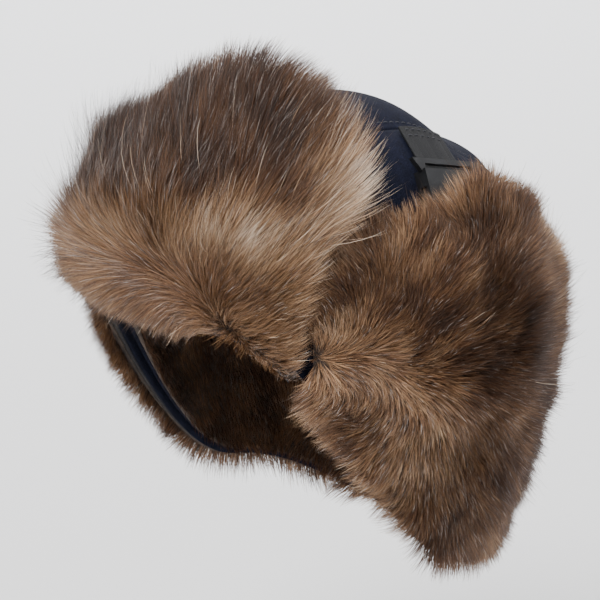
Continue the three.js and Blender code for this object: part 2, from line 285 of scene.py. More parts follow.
def strands(name, path, width, tone, across, rows):
    """Tapered ribbons. path is strands x rows+1 x 3, and the last row is the tip."""
    count = len(path)
    t = np.linspace(0, 1, rows + 1)[:-1]
    taper = (1 - 0.75 * t)[None, :, None] * width[:, None, None] / 2
    side = across[:, None, :] * taper
    left, right = path[:, :-1] - side, path[:, :-1] + side
    per = 2 * rows + 1
    verts = np.empty((count, per, 3))
    verts[:, 0:2 * rows:2] = left
    verts[:, 1:2 * rows:2] = right
    verts[:, -1] = path[:, -1]
    base = (np.arange(count) * per)[:, None]
    quads = [base + [2 * k, 2 * k + 1, 2 * k + 3, 2 * k + 2] for k in range(rows - 1)]
    tris = base + [2 * rows - 2, 2 * rows - 1, 2 * rows]
    quads = np.stack(quads, 1).reshape(-1, 4)
    ob = make_mesh(name, verts.reshape(-1, 3), quads, tris)
    v = np.zeros(per)
    v[0:2 * rows:2] = v[1:2 * rows:2] = t
    v[-1] = 1
    u = np.repeat(np.clip(tone, 0.004, 0.996), per)
    spread = np.tile(np.tile([-0.0015, 0.0015], rows + 1)[:per], count)
    uv = np.stack([u + spread, np.tile(0.01 + 0.98 * v, count)], 1)
    index = np.empty(len(ob.data.loops), np.int32)
    ob.data.loops.foreach_get("vertex_index", index)
    layer = ob.data.uv_layers.new(name=PALETTE_UV)
    layer.data.foreach_set("uv", uv[index].astype(np.float32).ravel())
    return ob


PALETTE_UV = "OFBake"      # across: a strand's tone; up: root to tip


def surface(place, u, v):
    """Points of a pile's skin with its normals and its two directions."""
    h = 1e-3
    p = place(u, v)
    du = place(np.minimum(u + h, 1), v) - place(np.maximum(u - h, 0), v)
    dv = place(u, np.minimum(v + h, 1)) - place(u, np.maximum(v - h, 0))
    along = unit(du)
    n = unit(np.cross(du, dv))
    up = np.cross(n, along)
    return p, n, along, up


def scatter(place, count, seed):
    """u and v of count points spread evenly over the area of a patch."""
    pick = np.random.default_rng(seed)
    u, v = pick.uniform(0.002, 0.998, (2, count * 4))
    h = 1e-3
    du = place(u + h, v) - place(u - h, v)
    dv = place(u, v + h) - place(u, v - h)
    area = np.linalg.norm(np.cross(du, dv), axis=-1)
    keep = np.flatnonzero(pick.uniform(0, np.quantile(area, 0.995), len(u)) < area)[:count]
    return u[keep], v[keep]


def gather(root, path, amount, size, seed):
    """Pulls the strands' ends together into locks about size apart."""
    pick = np.random.default_rng(seed)
    spread = np.ptp(root, axis=0)
    area = spread[1] * spread[2] + spread[0] * spread[2]
    leads = pick.choice(len(root), min(len(root), int(1.2 * area / size ** 2)), replace=False)
    tree = kdtree.KDTree(len(leads))
    for i, lead in enumerate(leads):
        tree.insert(root[lead], i)
    tree.balance()
    nearest = np.array([tree.find(p)[1] for p in root])
    lead = path[leads[nearest]]
    t = np.linspace(0, 1, path.shape[1])[None, :, None] ** 1.4
    pull = (amount * pick.uniform(0.5, 1, len(leads)))[nearest][:, None, None] * t
    return path + (lead - path) * pull


def grow(name, place, count, rows, comb, length, lean, width, tone, seed, lock=(0.6, 5), wave=0.06):
    """Fur on a patch. comb, length, lean and tone take u, v and the roots.

    comb is the direction of the hair on the skin, in degrees from along u towards up v.
    lean is the angle in degrees from standing up, and length and width are in millimetres.
    """
    pick = np.random.default_rng(seed)
    u, v = scatter(place, count, seed + 1)
    root, n, along, up = surface(place, u, v)
    turn = np.radians(comb(u, v, root) + pick.normal(0, 9, len(u)))[:, None]
    flow = along * np.cos(turn) + up * np.sin(turn)
    tilt = np.radians(np.clip(lean(u, v, root) + pick.normal(0, 7, len(u)), 0, 84))[:, None]
    long = (length(u, v, root) * pick.uniform(0.72, 1.12, len(u)))[:, None]
    start = n * np.cos(tilt * 0.7) + flow * np.sin(tilt * 0.7)
    end = n * np.cos(tilt * 1.25) + flow * np.sin(tilt * 1.25)
    wander = unit(pick.normal(size=root.shape)) * wave
    path = []
    for t in np.linspace(0, 1, rows + 1):
        bend = start * t + (end - start) * t * t / 2 + wander * math.sin(2.4 * t) * t
        path.append(root - 0.8 * n + long * bend)
    path = gather(root, np.stack(path, 1), *lock, seed + 2)
    facing = unit(path[:, -1] - path[:, 0])
    across = np.cross(facing, n)
    twist = pick.uniform(-0.9, 0.9, len(u))[:, None]
    across = unit(unit(across) + np.cross(unit(across), facing) * twist)
    wide = width * pick.uniform(0.6, 1.3, len(u))
    return strands(name, path, wide, tone(u, v, root, pick), across, rows)


# ---- materials -------------------------------------------------------------------------------

def new_material(name):
    """A node material with its Principled shader, and a short way to add nodes and links."""
    mat = bpy.data.materials.new(name)
    mat.use_nodes = True
    tree = mat.node_tree
    shader = tree.nodes["Principled BSDF"]

    def node(kind, inputs=None, **settings):
        made = tree.nodes.new(kind)
        for key, value in settings.items():
            setattr(made, key, value)
        for key, value in (inputs or {}).items():
            if isinstance(value, bpy.types.NodeSocket):
                tree.links.new(value, made.inputs[key])
            else:
                made.inputs[key].default_value = value
        return made

    return mat, tree, shader, node


def ramp(node, fac, stops):
    """A colour ramp through (place, (r, g, b)) stops."""
    made = node("ShaderNodeValToRGB", {"Fac": fac})
    elements = made.color_ramp.elements
    while len(elements) < len(stops):
        elements.new(0.5)
    for element, (at, color) in zip(elements, stops):
        element.position = at
        element.color = (*color, 1)
    return made.outputs["Color"]


def mix(node, fac, a, b, kind="MIX"):
    made = node("ShaderNodeMix", data_type="RGBA", blend_type=kind)
    links = made.id_data.links
    for socket, value in ((made.inputs[0], fac), (made.inputs[6], a), (made.inputs[7], b)):
        if isinstance(value, bpy.types.NodeSocket):
            links.new(value, socket)
        elif isinstance(value, tuple):
            socket.default_value = (*value, 1)
        else:
            socket.default_value = value
    return made.outputs[2]


BROWNS = {
    "root": [(0, (.02, .015, .012)), (.2, (.018, .011, .007)), (.5, (.07, .04, .023)),
             (.7, (.17, .11, .07)), (1, (.40, .31, .24))],
    "middle": [(0, (.02, .013, .01)), (.15, (.016, .009, .006)), (.35, (.078, .030, .012)),
               (.55, (.205, .10, .045)), (.75, (.42, .25, .135)), (1, (.78, .61, .46))],
    "tip": [(0, (.60, .54, .50)), (.1, (.42, .35, .31)), (.13, (.025, .016, .012)),
            (.35, (.055, .028, .016)), (.55, (.15, .08, .04)), (.75, (.42, .27, .15)),
            (1, (.82, .70, .56))],
}


def hair_material(name, colors, roughness):
    mat, tree, shader, node = new_material(name)
    uv = node("ShaderNodeUVMap", uv_map=PALETTE_UV)
    place = node("ShaderNodeSeparateXYZ", {"Vector": uv.outputs[0]}).outputs
    bands = [ramp(node, place[0], colors[part]) for part in ("root", "middle", "tip")]
    rise = ramp(node, place[1], [(.08, (0, 0, 0)), (.42, (1, 1, 1))])
    end = ramp(node, place[1], [(.6, (0, 0, 0)), (.88, (1, 1, 1))])
    color = mix(node, end, mix(node, rise, bands[0], bands[1]), bands[2])
    tree.links.new(color, shader.inputs["Base Color"])
    shader.inputs["Roughness"].default_value = roughness
    shader.inputs["Specular IOR Level"].default_value = 0.4
    return mat


def skin_material(name, dark, light):
    """Dense underfur seen between the hairs."""
    mat, tree, shader, node = new_material(name)
    where = node("ShaderNodeTexCoord").outputs["Object"]
    noise = node("ShaderNodeTexNoise", {"Vector": where, "Scale": 260, "Detail": 4})
    color = ramp(node, noise.outputs["Fac"], [(.35, dark), (.65, light)])
    tree.links.new(color, shader.inputs["Base Color"])
    bump = node("ShaderNodeBump", {"Height": noise.outputs["Fac"], "Distance": 0.001})
    tree.links.new(bump.outputs["Normal"], shader.inputs["Normal"])
    shader.inputs["Roughness"].default_value = 0.95
    return mat


BRIM_HAIR = hair_material("brim_hair", BROWNS, 0.36)
PLUSH_HAIR = hair_material("plush_hair", BROWNS, 0.55)
UNDERFUR = skin_material("underfur", (.02, .014, .011), (.07, .048, .036))


def finish(ob, material, body_name):
    ob.data.materials.clear()
    ob.data.materials.append(material)
    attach(ob, body_name)
    return ob


def patch(u, v, at, size):
    return np.exp(-((u - at[0]) / size[0]) ** 2 - ((v - at[1]) / size[1]) ** 2)


# ---- brim ------------------------------------------------------------------------------------

PILE_START = CLEAR + 2 * SKIN + 2 * GAP     # from the crown to the skin of the fur


def pillow(t, power=3.0):
    """1 in the middle of a stretch from 0 to 1 and 0 at its ends, with full sides."""
    return np.clip(1 - np.abs(2 * t - 1) ** power, 0, 1) ** (1 / power)


BRIM_TRIM = 6                  # how far the pelt stops short of the brim's top
BRIM_CORNER = (0.95, 0.2)      # where the fur of the left end's lower corner stands up


def brim_flat(u, v):
    """1 on the upper front and right of the brim, where the fur lies flat, and 0 elsewhere."""
    return smooth((v - 0.3) / 0.35) * smooth((0.68 - u) / 0.3)


def brim_rise(u):
    """How far the pelt's lower edge stays above the brim's: less at the left end."""
    return 6 + 5 * smooth((0.95 - u) / 0.35)


def brim_skin(u, v):
    """The outer face of the brim's pelt, which curls in at its edges."""
    thick = 9 * pillow(u, 5) * pillow(v, 4) * (1 - 0.55 * brim_flat(u, v))
    return brim_point(2 * u - 1, v, PILE_START + thick, brim_rise(u), BRIM_TRIM)


def brim_slab(u, v, w):
    inner = brim_point(2 * u - 1, v, PILE_START + 0 * u, brim_rise(u), BRIM_TRIM)
    return inner + (brim_skin(u, v) - inner) * w[..., None]


def brim_comb(u, v, root):
    """Up and to the wearer's left on most of the brim, and down to the right below."""
    above = 66 + 24 * smooth((u - 0.8) / 0.2) + 12 * smooth((0.15 - u) / 0.15)
    above = above - 26 * smooth((v - 0.75) / 0.25) * smooth((0.7 - u) / 0.4)
    below = 212 + 30 * smooth((u - 0.35) / 0.5)
    line = 0.18 - 0.34 * smooth((u - 0.58) / 0.3) - 0.05 * field(root, 60, 3)
    part = smooth((v - line) / 0.24)
    return lerp(below, above, part) + 10 * field(root, 34, 4)


def brim_tone(u, v, root, pick):
    low = smooth((0.40 - v + 0.05 * field(root, 30, 11)) / 0.12)
    grain = root * [1, 1, 0.4]
    tone = 0.31 + 0.09 * field(grain, 18, 12) + 0.08 * field(grain, 6, 13)
    tone = lerp(tone, 0.58 + 0.08 * field(root, 22, 14), low)
    tone += 0.46 * patch(u, v, (1.0, 0.62), (0.09, 0.26)) * (1 - 0.6 * low)
    tone += 0.38 * patch(u, v, (0.86, 0.36), (0.16, 0.09)) + 0.26 * patch(u, v, (0.68, 0.33), (0.13, 0.08))
    tone -= 0.11 * patch(u, v, (0.72, 0.14), (0.1, 0.1))
    tone -= 0.10 * patch(u, v, (0.70, 0.86), (0.12, 0.16))
    tone += 0.10 * patch(u, v, (0.90, 0.88), (0.07, 0.14)) + 0.12 * patch(u, v, (0.45, 0.98), (0.2, 0.06))
    tone = np.clip(tone + pick.normal(0, 0.075, len(u)), 0.14, 0.97)
    share = 0.05 + 0.15 * patch(u, v, (0.3, 0.5), (0.28, 0.18)) - 0.03 * low
    silver = pick.uniform(size=len(u)) < share
    return np.where(silver, pick.uniform(0.0, 0.09, len(u)), tone)


def brim_length(u, v, root):
    long = 24 + 10 * smooth((v - 0.25) / 0.3) - 10 * smooth((0.25 - v) / 0.25)
    short = 7 * patch(u, v, BRIM_CORNER, (0.1, 0.14))
    return long - 11 * smooth((v - 0.75) / 0.25) - 3 * brim_flat(u, v) - short


def brim_lean(u, v, root):
    flat = 10 * brim_flat(u, v) - 10 * smooth((0.2 - v) / 0.2)
    parting = 20 * np.exp(-(((v - 0.3) / 0.1) ** 2)) + 8 * patch(u, v, BRIM_CORNER, (0.1, 0.14))
    return 62 + flat - parting + 6 * np.sin(np.pi * v) + 6 * field(root, 18, 5)


def make_brim():
    skin = shell("brim_pelt", 56, 40, brim_slab)
    finish(skin, UNDERFUR, "brim")
    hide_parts("brim_fur")
    for k in range(2):
        guard = grow(f"brim_guard_hair_{k + 1}", brim_skin, 28000, 4, brim_comb, brim_length, brim_lean,
                     0.26, brim_tone, 100 + 10 * k, lock=(0.4, 4), wave=0.06)
        finish(guard, BRIM_HAIR, "brim")
    under = grow("brim_underfur", brim_skin, 39000, 3, brim_comb,
                 lambda u, v, r: 0.5 * brim_length(u, v, r), lambda u, v, r: brim_lean(u, v, r) - 12,
                 0.36, brim_tone, 200, lock=(0.4, 3), wave=0.1)
    finish(under, BRIM_HAIR, "brim")
    wisps = grow("brim_wisps", brim_skin, 5200, 6, brim_comb,
                 lambda u, v, r: 1.22 * brim_length(u, v, r) - 5 * smooth((v - 0.7) / 0.3),
                 lambda u, v, r: brim_lean(u, v, r) - 15, 0.2, wisp_tone, 260, lock=(0.12, 7), wave=0.12)
    finish(wisps, BRIM_HAIR, "brim")


def wisp_tone(u, v, root, pick):
    """Long dark hairs with a few white ones, most of them at the brim's left end."""
    dark = np.clip(pick.normal(0.24, 0.08, len(u)), 0.13, 0.6)
    white = pick.uniform(size=len(u)) < 0.015 + 0.3 * smooth((u - 0.9) / 0.1)
    return np.where(white, pick.uniform(0.8, 1, len(u)), dark)


# ---- ear and neck flaps ----------------------------------------------------------------------

# The pelt of a flap: how far it stops short of the flap's edges, and how thick its middle is.
FLAP_PELT = {"side": 1, "low": 2, "high": 4, "puff": 8}


def flap_pelt_spot(span, u, v):
    """Angle and height of a point of a flap's pelt."""
    angle = lerp(span[0] + FLAP_PELT["side"], span[1] - FLAP_PELT["side"], u)
    return angle, lerp(lower_edge(angle) + FLAP_PELT["low"], flap_top(angle) - FLAP_PELT["high"], v)


def flap_skin(span):
    def place(u, v):
        thick = FLAP_PELT["puff"] * pillow(u, 5) * pillow(v, 4)
        return flap_point(*flap_pelt_spot(span, u, v), PILE_START + thick)
    return place


def flap_slab(span):
    skin = flap_skin(span)

    def place(u, v, w):
        inner = flap_point(*flap_pelt_spot(span, u, v), PILE_START + 0 * u)
        return inner + (skin(u, v) - inner) * w[..., None]
    return place


def flap_comb(u, v, root, flip):
    """Up on the tip, and down and outward below."""
    s = 1 - u if flip else u
    up = 80 - 30 * smooth((s - 0.5) / 0.5)
    down = 250 + 75 * smooth((s - 0.25) / 0.7)
    rise = smooth((v - 0.30) / 0.34)
    turn = lerp(down - 360, up, rise)
    return (180 - turn if flip else turn) + 26 * field(root, 24, 31)


def flap_tone(u, v, root, pick, flip):
    s = 1 - u if flip else u
    t = 0.47 + 0.08 * field(root, 26, 41) + 0.08 * field(root, 8, 42)
    t -= 0.15 * patch(s, v, (0.5, 0.66), (0.24, 0.14)) + 0.19 * patch(s, v, (0.86, 0.3), (0.14, 0.17))
    t += 0.07 * smooth((v - 0.86) / 0.12) + 0.1 * smooth((0.12 - v) / 0.12) * smooth((0.6 - s) / 0.3)
    t += (0.07 * smooth((s - 0.9) / 0.1) * smooth((v - 0.45) / 0.1)
          + 0.11 * patch(s, v, (0.14, 0.6), (0.14, 0.16)))
    t += 0.12 * patch(s, v, (0.3, 0.25), (0.2, 0.2)) + 0.09 * smooth((0.1 - s) / 0.1)
    t = np.clip(t + pick.normal(0, 0.08, len(u)), 0.14, 0.95)
    grizzle = pick.uniform(size=len(u)) < 0.08 + 0.14 * patch(s, v, (0.35, 0.2), (0.25, 0.25))
    return np.where(grizzle, pick.uniform(0.0, 0.3, len(u)), t)


def flap_length(u, v, root, flip):
    """Longer behind and below, where the hair stands off in a fringe."""
    s = 1 - u if flip else u
    behind = 6 * smooth((s - 0.8) / 0.2) * smooth(v / 0.3)
    fringe = behind + 3 * smooth((0.16 - v) / 0.16) * smooth((s - 0.4) / 0.2)
    return 14 + fringe + 1.5 * field(root, 20, 51)


def flap_lean(u, v, root):
    """Hair stands up in the middle and lies down towards the edges."""
    away = np.hypot((u - 0.5) / 0.5, (v - 0.46) / 0.5)
    return 18 + 34 * smooth(away) + 8 * field(root, 14, 52)


def make_flap(body_name, span, flip, seed):
    skin = shell(body_name + "_pelt", 56, 48, flap_slab(span))
    finish(skin, UNDERFUR, body_name)
    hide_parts(body_name + "_fur")
    place = flap_skin(span)

    def comb(u, v, root):
        return flap_comb(u, v, root, flip)

    def tone(u, v, root, pick):
        return flap_tone(u, v, root, pick, flip)

    def length(u, v, root):
        return flap_length(u, v, root, flip)

    for k in range(2):
        guard = grow(f"{body_name}_guard_hair_{k + 1}", place, 28000, 4, comb, length, flap_lean,
                     0.27, tone, seed + 10 * k, lock=(0.35, 3), wave=0.1)
        finish(guard, PLUSH_HAIR, body_name)
    under = grow(body_name + "_underfur", place, 39000, 3, comb,
                 lambda u, v, r: 0.72 * length(u, v, r), lambda u, v, r: flap_lean(u, v, r) - 6,
                 0.36, tone, seed + 50, lock=(0.4, 2.5), wave=0.14)
    finish(under, PLUSH_HAIR, body_name)
    wisps = grow(body_name + "_wisps", place, 3000, 6, comb,
                 lambda u, v, r: 1.45 * length(u, v, r) - 9 * smooth((0.22 - v) / 0.2),
                 lambda u, v, r: flap_lean(u, v, r) + 8, 0.2, wisp_tone, seed + 70, lock=(0.1, 6), wave=0.14)
    finish(wisps, PLUSH_HAIR, body_name)


# ---- cloth ------------------------------------------------------------------------------------

def wool_material(name, color, fleck):
    """Fulled melton: short fibres lying every way."""
    mat, tree, shader, node = new_material(name)
    where = node("ShaderNodeTexCoord").outputs["Object"]
    fibre = node("ShaderNodeTexNoise", {"Vector": where, "Scale": 1500, "Detail": 6, "Roughness": 0.7})
    felted = node("ShaderNodeTexNoise", {"Vector": where, "Scale": 210, "Detail": 3})
    warp = node("ShaderNodeTexVoronoi", {"Vector": where, "Scale": 900}, feature="DISTANCE_TO_EDGE")
    tint = ramp(node, fibre.outputs["Fac"], [(.35, color), (.75, fleck)])
    worn = ramp(node, felted.outputs["Fac"], [(.3, (.72, .72, .72)), (.7, (1.15, 1.15, 1.2))])
    tree.links.new(mix(node, 1.0, tint, worn, "MULTIPLY"), shader.inputs["Base Color"])
    coarse = node("ShaderNodeBump", {"Height": felted.outputs["Fac"], "Distance": 0.0006, "Strength": 0.5})
    fine = node("ShaderNodeBump", {"Height": warp.outputs["Distance"], "Normal": coarse.outputs["Normal"],
                                   "Distance": 0.0003, "Strength": 0.6})
    tree.links.new(fine.outputs["Normal"], shader.inputs["Normal"])
    shader.inputs["Roughness"].default_value = 0.95
    shader.inputs["Specular IOR Level"].default_value = 0.12
    return mat


def satin_material():
    mat, tree, shader, node = new_material("lining_satin")
    where = node("ShaderNodeTexCoord").outputs["Object"]
    thread = node("ShaderNodeTexWave", {"Vector": where, "Scale": 620, "Distortion": 2.0, "Detail": 2})
    cloud = node("ShaderNodeTexNoise", {"Vector": where, "Scale": 45, "Detail": 3})
    color = ramp(node, cloud.outputs["Fac"], [(.3, (.014, .016, .024)), (.7, (.03, .033, .048))])
    tree.links.new(color, shader.inputs["Base Color"])
    bump = node("ShaderNodeBump", {"Height": thread.outputs["Fac"], "Distance": 0.0002, "Strength": 0.35})
    tree.links.new(bump.outputs["Normal"], shader.inputs["Normal"])
    shader.inputs["Roughness"].default_value = 0.38
    shader.inputs["Sheen Weight"].default_value = 0.2
    return mat


def felt_material(name, dark, light):
    mat, tree, shader, node = new_material(name)
    where = node("ShaderNodeTexCoord").outputs["Object"]
    fibre = node("ShaderNodeTexNoise", {"Vector": where, "Scale": 700, "Detail": 7, "Roughness": 0.75})
    tree.links.new(ramp(node, fibre.outputs["Fac"], [(.3, dark), (.7, light)]), shader.inputs["Base Color"])
    bump = node("ShaderNodeBump", {"Height": fibre.outputs["Fac"], "Distance": 0.0008})
    tree.links.new(bump.outputs["Normal"], shader.inputs["Normal"])
    shader.inputs["Roughness"].default_value = 1.0
    return mat


def webbing_material(name, dark, light, pitch):
    """Woven nylon: fine yarns across the strap's own relief."""
    mat, tree, shader, node = new_material(name)
    where = node("ShaderNodeTexCoord").outputs["Object"]
    yarn = node("ShaderNodeTexNoise", {"Vector": where, "Scale": 1 / (pitch * MM), "Detail": 4})
    color = ramp(node, yarn.outputs["Fac"], [(.32, dark), (.72, light)])
    tree.links.new(color, shader.inputs["Base Color"])
    bump = node("ShaderNodeBump", {"Height": yarn.outputs["Fac"], "Distance": 0.0002, "Strength": 0.6})
    tree.links.new(bump.outputs["Normal"], shader.inputs["Normal"])
    shader.inputs["Roughness"].default_value = 0.7
    shader.inputs["Specular IOR Level"].default_value = 0.2
    return mat


def plastic_material():
    """Moulded acetal: a fine spark-eroded grain with faint wear."""
    mat, tree, shader, node = new_material("buckle_plastic")
    where = node("ShaderNodeTexCoord").outputs["Object"]
    grain = node("ShaderNodeTexNoise", {"Vector": where, "Scale": 2200, "Detail": 3})
    worn = node("ShaderNodeTexNoise", {"Vector": where, "Scale": 160, "Detail": 5})
    color = ramp(node, worn.outputs["Fac"], [(.3, (.003, .003, .0035)), (.75, (.009, .009, .01))])
    tree.links.new(color, shader.inputs["Base Color"])
    gloss = node("ShaderNodeMapRange", {"Value": worn.outputs["Fac"], "To Min": 0.34, "To Max": 0.52})
    tree.links.new(gloss.outputs["Result"], shader.inputs["Roughness"])
    bump = node("ShaderNodeBump", {"Height": grain.outputs["Fac"], "Distance": 0.00008, "Strength": 0.5})
    tree.links.new(bump.outputs["Normal"], shader.inputs["Normal"])
    return mat


NAVY_WOOL = wool_material("navy_wool", (.0016, .0021, .006), (.011, .013, .027))
SATIN = satin_material()
FELT = felt_material("needle_felt", (.012, .011, .012), (.04, .036, .036))
WADDING = felt_material("polyester_wadding", (.62, .60, .56), (.86, .85, .82))
WEBBING = webbing_material("nylon_webbing", (.0025, .0025, .003), (.014, .014, .015), 0.35)
RIBBON = webbing_material("grosgrain_ribbon", (.008, .008, .01), (.03, .03, .034), 0.6)
THREAD = webbing_material("stitching_thread", (.02, .02, .024), (.07, .07, .08), 0.25)
PLASTIC = plastic_material()


def cut_size(place):
    """Width, length and area in metres of a cloth's outer face, laid flat."""
    n = 60
    u, v = np.meshgrid(np.linspace(0, 1, n), np.linspace(0, 1, n), indexing="ij")
    p = place(u, v, np.ones_like(u)) * MM
    du, dv = np.diff(p, axis=0), np.diff(p, axis=1)
    wide = np.linalg.norm(du, axis=-1).sum(0).max()
    long = np.linalg.norm(dv, axis=-1).sum(1).max()
    area = np.linalg.norm(np.cross(du[:, :-1], dv[:-1]), axis=-1).sum()
    return (float(wide), float(long)), float(area)


def cloth(name, size, place, material, body_name, node):
    """A sheet of cloth with its true thickness, which stands for a CAD node."""
    ob = shell(name, *size, place)
    finish(ob, material, body_name)
    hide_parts(node)
    flat, area = cut_size(place)
    return ob


# ---- crown -------------------------------------------------------------------------------------

SEAM_PINCH, SEAM_WIDTH = 1.3, 7        # how deep a seam draws the cloth in, and over what width
QUILT = {"pitch": 26, "depth": 1.5}    # the lining's diamonds
STITCH = {"length": 2.6, "gap": 1.1, "thick": 0.45}


def pinch(distance):
    """The dip of padded cloth beside a seam."""
    return -SEAM_PINCH * np.exp(-((distance / SEAM_WIDTH) ** 2))


def centre_place(outer, inner, relief):
    def place(u, v, w):
        x = lerp(-GUSSET, GUSSET, u)
        off = lerp(inner, outer, w) + relief(GUSSET - np.abs(x), x, v * 250)
        across = np.sqrt(1 - (x / (CROWN["a"] + off)) ** 2)
        rim_turn = np.arcsin((SEAM_Z - CROWN["z"]) / ((CROWN["c"] + off) * across))
        turn = lerp(rim_turn, math.pi - rim_turn, v)
        return sag(np.stack([
            x + 0 * turn, CROWN["y"] - (CROWN["b"] + off) * across * np.cos(turn),
            CROWN["z"] + (CROWN["c"] + off) * across * np.sin(turn),
        ], -1))
    return place


INNERMOST = CROWN["a"] - WOOL - BATTING - LINING - 2 * GAP


def side_place(side, outer, inner, relief):
    seam = GUSSET + 2 * GAP
    start = math.asin(seam / (INNERMOST * math.cos(math.radians(14))))

    def place(u, v, w):
        phi = lerp(start, math.pi - start, u) + (math.pi if side < 0 else 0)
        base = lerp(inner, outer, w)
        top = np.arccos(np.clip(seam / ((CROWN["a"] + base) * np.abs(np.sin(phi))), 0, 1))
        to_seam = (1 - v) * top * CROWN["c"]
        off = base + relief(to_seam, u * 300, v * top * CROWN["c"])
        rim_turn = np.arcsin((SEAM_Z - CROWN["z"]) / (CROWN["c"] + off))
        top = np.arccos(np.clip(seam / ((CROWN["a"] + off) * np.abs(np.sin(phi))), 0, 1))
        turn = lerp(rim_turn, top, v)
        return sag(np.stack([
            (CROWN["a"] + off) * np.sin(phi) * np.cos(turn),
            CROWN["y"] - (CROWN["b"] + off) * np.cos(phi) * np.cos(turn),
            CROWN["z"] + (CROWN["c"] + off) * np.sin(turn),
        ], -1))
    return place


def seamed(to_seam, s, t):
    """Wool over wadding: drawn in at the seams, and a little uneven between them."""
    uneven = 0.35 * np.sin(s / 17 + 0.6) * np.sin(t / 23 + 1.1)
    return pinch(to_seam) + uneven * smooth(to_seam / 14)


def quilted(to_seam, s, t):
    """Satin drawn in along crossing lines of stitches, which puffs towards the head."""
    cell = np.abs(np.sin(math.pi * (s + t) / QUILT["pitch"]) * np.sin(math.pi * (s - t) / QUILT["pitch"]))
    return -QUILT["depth"] * np.sqrt(cell) * smooth(to_seam / 6)


def level(to_seam, s, t):
    return 0 * to_seam


def make_crown():
    batting_out = -WOOL - GAP
    lining_out = batting_out - BATTING - GAP
    layers = (("crown", 0, WOOL, NAVY_WOOL, "navy_wool", seamed),
              ("batting", batting_out, BATTING, WADDING, "batting", level),
              ("lining", lining_out, LINING, SATIN, "lining_satin", quilted))
    for layer, outer, thick, material, slot, relief in layers:
        places = {"centre_panel": centre_place(outer, outer - thick, relief),
                  "left_panel": side_place(1, outer, outer - thick, relief),
                  "right_panel": side_place(-1, outer, outer - thick, relief)}
        for panel, place in places.items():
            node = f"{layer}_{panel}"
            size = (40, 120) if panel == "centre_panel" else (120, 50)
            if layer == "batting":
                ob = finish(shell(node + "_pad", *size, place), material, "crown")
                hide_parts(node)
            else:
                cloth(node + "_cloth", size, place, material, "crown", node)


def stitches(name, points, out, material, body_name):
    """A row of stitches along a line: short raised loops of thread."""
    points = np.asarray(points)
    legs = np.linalg.norm(np.diff(points, axis=0), axis=1)
    along = np.concatenate([[0], np.cumsum(legs)])
    verts, quads = [], []
    sides, rings = 6, 5
    step = STITCH["length"] + STITCH["gap"]
    for k in range(int(along[-1] / step)):
        s = (k + 0.5) * step + np.linspace(-0.5, 0.5, rings) * STITCH["length"]
        middle = np.stack([np.interp(s, along, points[:, i]) for i in range(3)], 1)
        up = unit(np.stack([np.interp(s, along, out[:, i]) for i in range(3)], 1))
        way = unit(np.gradient(middle, axis=0))
        side = np.cross(up, way)
        hump = np.sin(np.linspace(0.06, 0.94, rings) * math.pi)[:, None]
        middle = middle + up * (hump - 0.5) * STITCH["thick"]
        for r in range(rings):
            turn = np.linspace(0, 2 * math.pi, sides, endpoint=False)[:, None]
            radius = STITCH["thick"] * (0.35 + 0.2 * hump[r])
            verts.append(middle[r] + radius * (np.cos(turn) * side[r] + np.sin(turn) * up[r]))
        base = k * sides * rings
        for r in range(rings - 1):
            for j in range(sides):
                a, b = base + r * sides + j, base + r * sides + (j + 1) % sides
                quads.append([a, b, b + sides, a + sides])
        first, last = base, base + (rings - 1) * sides
        for cap in (first, last):
            quads.append([cap, cap + 1, cap + 2, cap + 3])
            quads.append([cap, cap + 3, cap + 4, cap + 5])
    ob = make_mesh(name, np.concatenate(verts), np.array(quads))
    outward(ob)
    return finish(ob, material, body_name)


def line_on(place, u, v):
    """Points of a cloth's outer face along a line, with the outward direction at each."""
    one = np.ones_like(u)
    p = place(u, v, one)
    return p, unit(p - place(u, v, 0 * one))


def make_crown_seams():
    place = centre_place(0, -WOOL, seamed)
    v = np.linspace(0.01, 0.99, 300)
    for side, u in (("right", 0.055), ("left", 0.945)):
        points, out = line_on(place, np.full_like(v, u), v)
        stitches(f"crown_{side}_seam_stitches", points, out, THREAD, "crown")


# ---- sweatband, skirts and the cloth layers of the flaps and brim --------------------------------

SWEATBAND = {"thick": 1, "low": 4, "high": 28, "gap": 2.6, "rib": 1.1, "relief": 0.12}
SKIRT_LIFT, SKIRT_SKIN = 7, 2.5
CLOTH_EDGE = {"side": 1, "low": 3, "high": 8}


def make_sweatband():
    lining_in = -WOOL - BATTING - 2 * GAP - LINING
    outer = lining_in - SWEATBAND["gap"]
    girth = 540

    def place(u, v, w):
        z = lerp(SWEATBAND["low"], SWEATBAND["high"], v)
        rib = SWEATBAND["relief"] * np.sin(2 * math.pi * u * girth / SWEATBAND["rib"])
        return body(lerp(181, 539, u), z, outer - SWEATBAND["thick"] * (1 - w) + rib * (1 - w))
    cloth("sweatband_ribbon", (2200, 6), place, RIBBON, "crown", "sweatband")


def skirt_place(span, outer, thick, lift):
    def place(u, v, w):
        angle = lerp(span[0], span[1], u)
        z = lerp(lower_edge(angle) + lift, SEAM_Z - 2 * GAP, v)
        return body(angle, z, outer - thick * (1 - w))
    return place


def make_skirt(name, span, seed):
    place = skirt_place(span, 0, WOOL, SKIRT_LIFT)
    cloth(name + "_skirt_cloth", (60, 40), place, NAVY_WOOL, "crown", name + "_skirt")
    pelt = skirt_place(span, -WOOL - GAP, SKIRT_SKIN, SKIRT_LIFT)
    cloth(name + "_skirt_pelt", (60, 40), pelt, UNDERFUR, "crown", name + "_skirt_fur")

    def inside(u, v):
        return pelt(1 - u, v, 0 * u)
    hair = grow(name + "_skirt_hair", inside, 26000, 3, lambda u, v, r: 270 + 24 * field(r, 20, 61),
                lambda u, v, r: 8.5 + 0 * u, lambda u, v, r: 44 + 6 * field(r, 12, 62), 0.34,
                skirt_tone, seed, lock=(0.4, 3), wave=0.12)
    finish(hair, PLUSH_HAIR, "crown")


